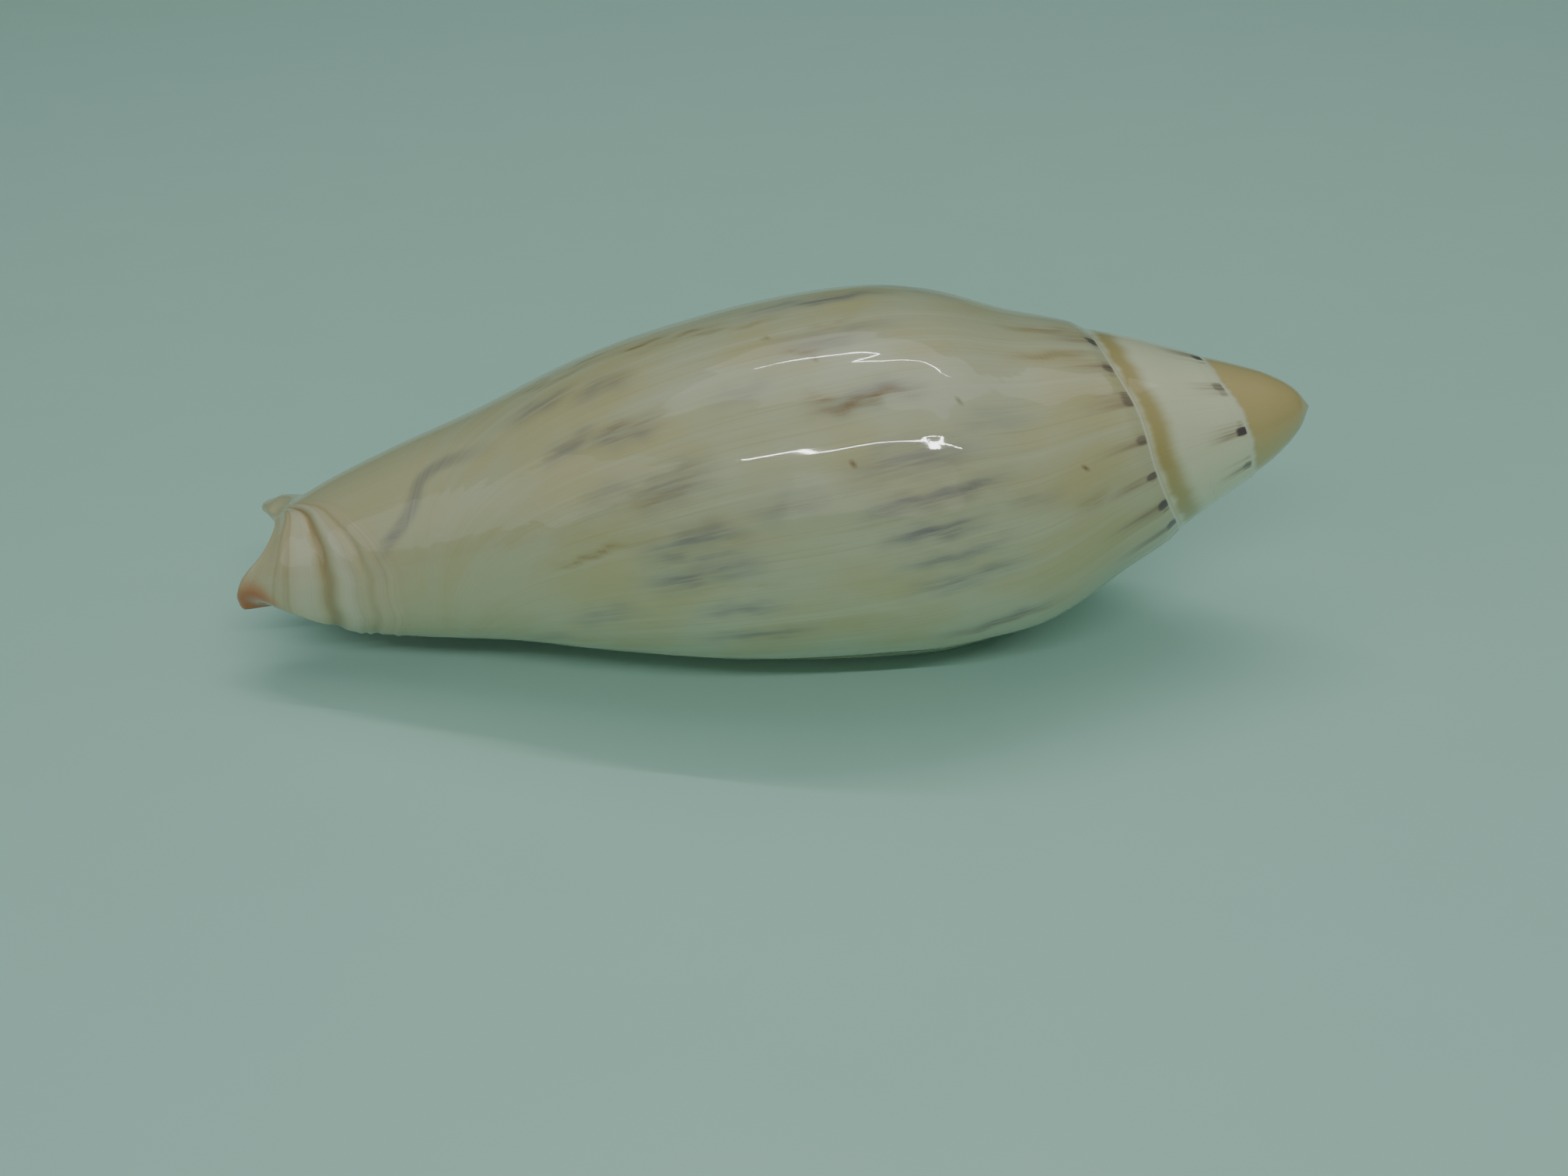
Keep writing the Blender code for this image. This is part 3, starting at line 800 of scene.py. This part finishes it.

    # arched lines of the band behind the notch, with tan grooves, and a painted highlight on its rounded rim
    arches = pattern("arches", band, along)
    bandColour = blend(ramp(arches, ranges["archLine"]), look["bandCream"], look["bandTan"])
    # the rounded rim is blended towards white: a painted highlight on the fold
    bandColour = blend(times(between(band, "rimHighlightFront", "rimHighlightBack"), strength["rim"]), bandColour, look["white"])
    bandColour = blend(times(between(band, "ridgeFront", "ridgeBack"), strength["ridge"]), bandColour, look["white"])
    for centre, wide, strong in look["bandGrooves"]:
        off = maths("ABSOLUTE", minus(band, centre))
        bandColour = blend(ramp(off, (wide, 0.0, 0.0, strong)), bandColour, look["bandTan"])
    colour = blend(times(bandMask, strength["band"]), colour, bandColour)
    colour = blend(ramp(number("underside"), ranges["underside"]), colour, look["spireCream"])
    colour = blend(times(number("speck"), strength["speck"]), colour, look["speck"])

    # inside: cream-yellow at the lip, orange-brown deeper in; the front tip is orange-brown too
    cloud = pattern("cloud", along, lipGap)
    deep = ramp(plus(lipGap, times(cloud, look["cloudDepth"])), ranges["deep"])
    inner = blend(deep, look["insideEdge"], look["insideDeep"])
    colour = blend(outside, inner, colour)
    colour = blend(times(tipSpot, strength["tip"]), colour, look["tip"])
    tipEdge = times(ramp(tipSpot, ranges["tipEdge"]), ramp(within, ranges["tipInside"]), strength["tipEdge"])
    colour = blend(tipEdge, colour, look["tipEdge"])
    feed(paint.inputs["Base Color"], colour)

    feed(paint.inputs["Roughness"], ramp(patch, ranges["roughness"]))
    paint.inputs["Coat Weight"].default_value = look["coat"]
    paint.inputs["Coat Roughness"].default_value = look["coatRoughness"]
    paint.inputs["IOR"].default_value = look["ior"]

    bump = node("ShaderNodeBump", Strength=look["lineStrength"], Distance=look["lineHeight"])
    lines = plus(times(fine, outside), times(broad, look["broadBump"]))
    feed(bump.inputs["Height"], plus(lines, times(arches, bandMask, look["archBump"])))
    feed(paint.inputs["Normal"], bump.outputs[0])
    return made


shell.data.materials.clear()
shell.data.materials.append(porcelain())
print("finish made")

floorLook = {
    "reach": 6.0,
    "wallAt": 0.9,
    "wallTop": 1.5,
    "bend": 0.35,
    "bendSteps": 24,
    "strips": 8,
    "colour": (0.43, 0.72, 0.625, 1),
    "speckle": (0.41, 0.69, 0.595, 1),
    "grain": 900,
    "roughness": 0.45,
}


def paleFloor():
    # one sheet: flat under the shell, curving up behind it
    mesh = bmesh.new()
    reach, flatTo, bend = floorLook["reach"], floorLook["wallAt"], floorLook["bend"]
    strips = floorLook["strips"]
    profile = [(-reach, 0.0), (0.0, 0.0)]
    for step in np.linspace(0, math.pi / 2, floorLook["bendSteps"]):
        profile.append((flatTo + bend * math.sin(step), bend * (1 - math.cos(step))))
    profile.append((flatTo + bend, floorLook["wallTop"]))
    rows = [[mesh.verts.new((x, y, z)) for x in np.linspace(-reach, reach, strips + 1)] for y, z in profile]
    for low, high in zip(rows, rows[1:]):
        for j in range(strips):
            mesh.faces.new((low[j], low[j + 1], high[j + 1], high[j]))
    floor = meshObject(mesh, "floor")
    floor.data.shade_smooth()
    made = bpy.data.materials.new("pale matt floor")
    made.use_nodes = True
    tree = made.node_tree
    paint = tree.nodes["Principled BSDF"]
    grain = tree.nodes.new("ShaderNodeTexNoise")
    grain.inputs["Scale"].default_value = floorLook["grain"]
    mix = tree.nodes.new("ShaderNodeMix")
    mix.data_type = "RGBA"
    mix.inputs[6].default_value = floorLook["colour"]
    mix.inputs[7].default_value = floorLook["speckle"]
    tree.links.new(grain.outputs["Fac"], mix.inputs[0])
    tree.links.new(mix.outputs[2], paint.inputs["Base Color"])
    paint.inputs["Roughness"].default_value = floorLook["roughness"]
    floor.data.materials.append(made)


paleFloor()
print("floor made")

# The camera's place was worked out with the shell's axis tilted 10.75 degrees, turned 0.48 and not rolled
cameraView = {
    "photoTilt": 10.75,
    "photoTurn": -0.48,
    "place": (43.57, -101.30, 71.50),
    "down": 35.66,
    "roll": -0.76,
    "lens": 34.61,
    "sensor": 36,
    "nearest": 0.005,
    "furthest": 20,
}


def fromPhoto(vector):
    tilt = math.radians(cameraView["photoTilt"])
    x, y, z = Matrix.Rotation(math.radians(-cameraView["photoTurn"]), 3, "Z") @ Vector(vector)
    return Vector(lieDown(np.array([x * math.cos(tilt) + z * math.sin(tilt), y,
                                    -x * math.sin(tilt) + z * math.cos(tilt)])))


def makeCamera():
    data = bpy.data.cameras.new("camera")
    data.sensor_width = cameraView["sensor"]
    data.lens = cameraView["lens"]
    data.clip_start = cameraView["nearest"]
    data.clip_end = cameraView["furthest"]
    camera = bpy.data.objects.new("camera", data)
    bpy.context.scene.collection.objects.link(camera)
    down, roll = math.radians(cameraView["down"]), math.radians(cameraView["roll"])
    flatUp = Vector((0, math.sin(down), math.cos(down)))
    right = Vector((1, 0, 0)) * math.cos(roll) + flatUp * math.sin(roll)
    upward = flatUp * math.cos(roll) - Vector((1, 0, 0)) * math.sin(roll)
    forward = Vector((0, math.cos(down), -math.sin(down)))
    turned = Matrix([fromPhoto(v) for v in (right, upward, -forward)]).transposed()
    spot = (fromPhoto(cameraView["place"]) - Vector(shellOrigin)) / 1000
    camera.matrix_world = Matrix.Translation(spot) @ turned.to_4x4()
    bpy.context.scene.camera = camera


makeCamera()

# Soft lamps: place in metres, size across and along, watts; all of them aim at one point
lampSet = {
    "overhead": {"at": (0.05, 0.10, 0.75), "size": (0.9, 0.6), "watts": 1.36, "colour": (1.0, 0.99, 0.97)},
    "leftFill": {"at": (-0.65, -0.35, 0.40), "size": (0.5, 0.5), "watts": 0.5, "colour": (0.97, 0.99, 1.0)},
    "frontFill": {"at": (0.10, -0.95, 0.40), "size": (0.8, 0.5), "watts": 0.6, "colour": (1.0, 0.965, 0.93)},
    "frontStrip": {"at": (0.03, -0.30, 0.37), "size": (0.46, 0.004), "watts": 0.62, "colour": (1.0, 1.0, 1.0)},
    "backStrip": {"at": (0.03, 0.10, 0.42), "size": (0.36, 0.003), "watts": 0.26, "colour": (1.0, 1.0, 1.0)},
}
lampAim = (0.01, 0, 0.015)
roomLight = {"colour": (0.80, 0.94, 0.91, 1), "strength": 0.125}


def makeLamps():
    for name, lamp in lampSet.items():
        data = bpy.data.lights.new(name, "AREA")
        data.shape = "RECTANGLE"
        data.size, data.size_y = lamp["size"]
        data.energy = lamp["watts"]
        data.color = lamp["colour"]
        made = bpy.data.objects.new(name, data)
        made.location = lamp["at"]
        made.rotation_euler = (Vector(lampAim) - Vector(lamp["at"])).to_track_quat("-Z", "Y").to_euler()
        bpy.context.scene.collection.objects.link(made)
    world = bpy.data.worlds.new("soft room")
    world.use_nodes = True
    world.node_tree.nodes["Background"].inputs["Color"].default_value = roomLight["colour"]
    world.node_tree.nodes["Background"].inputs["Strength"].default_value = roomLight["strength"]
    bpy.context.scene.world = world


makeLamps()
print("camera and lamps made")
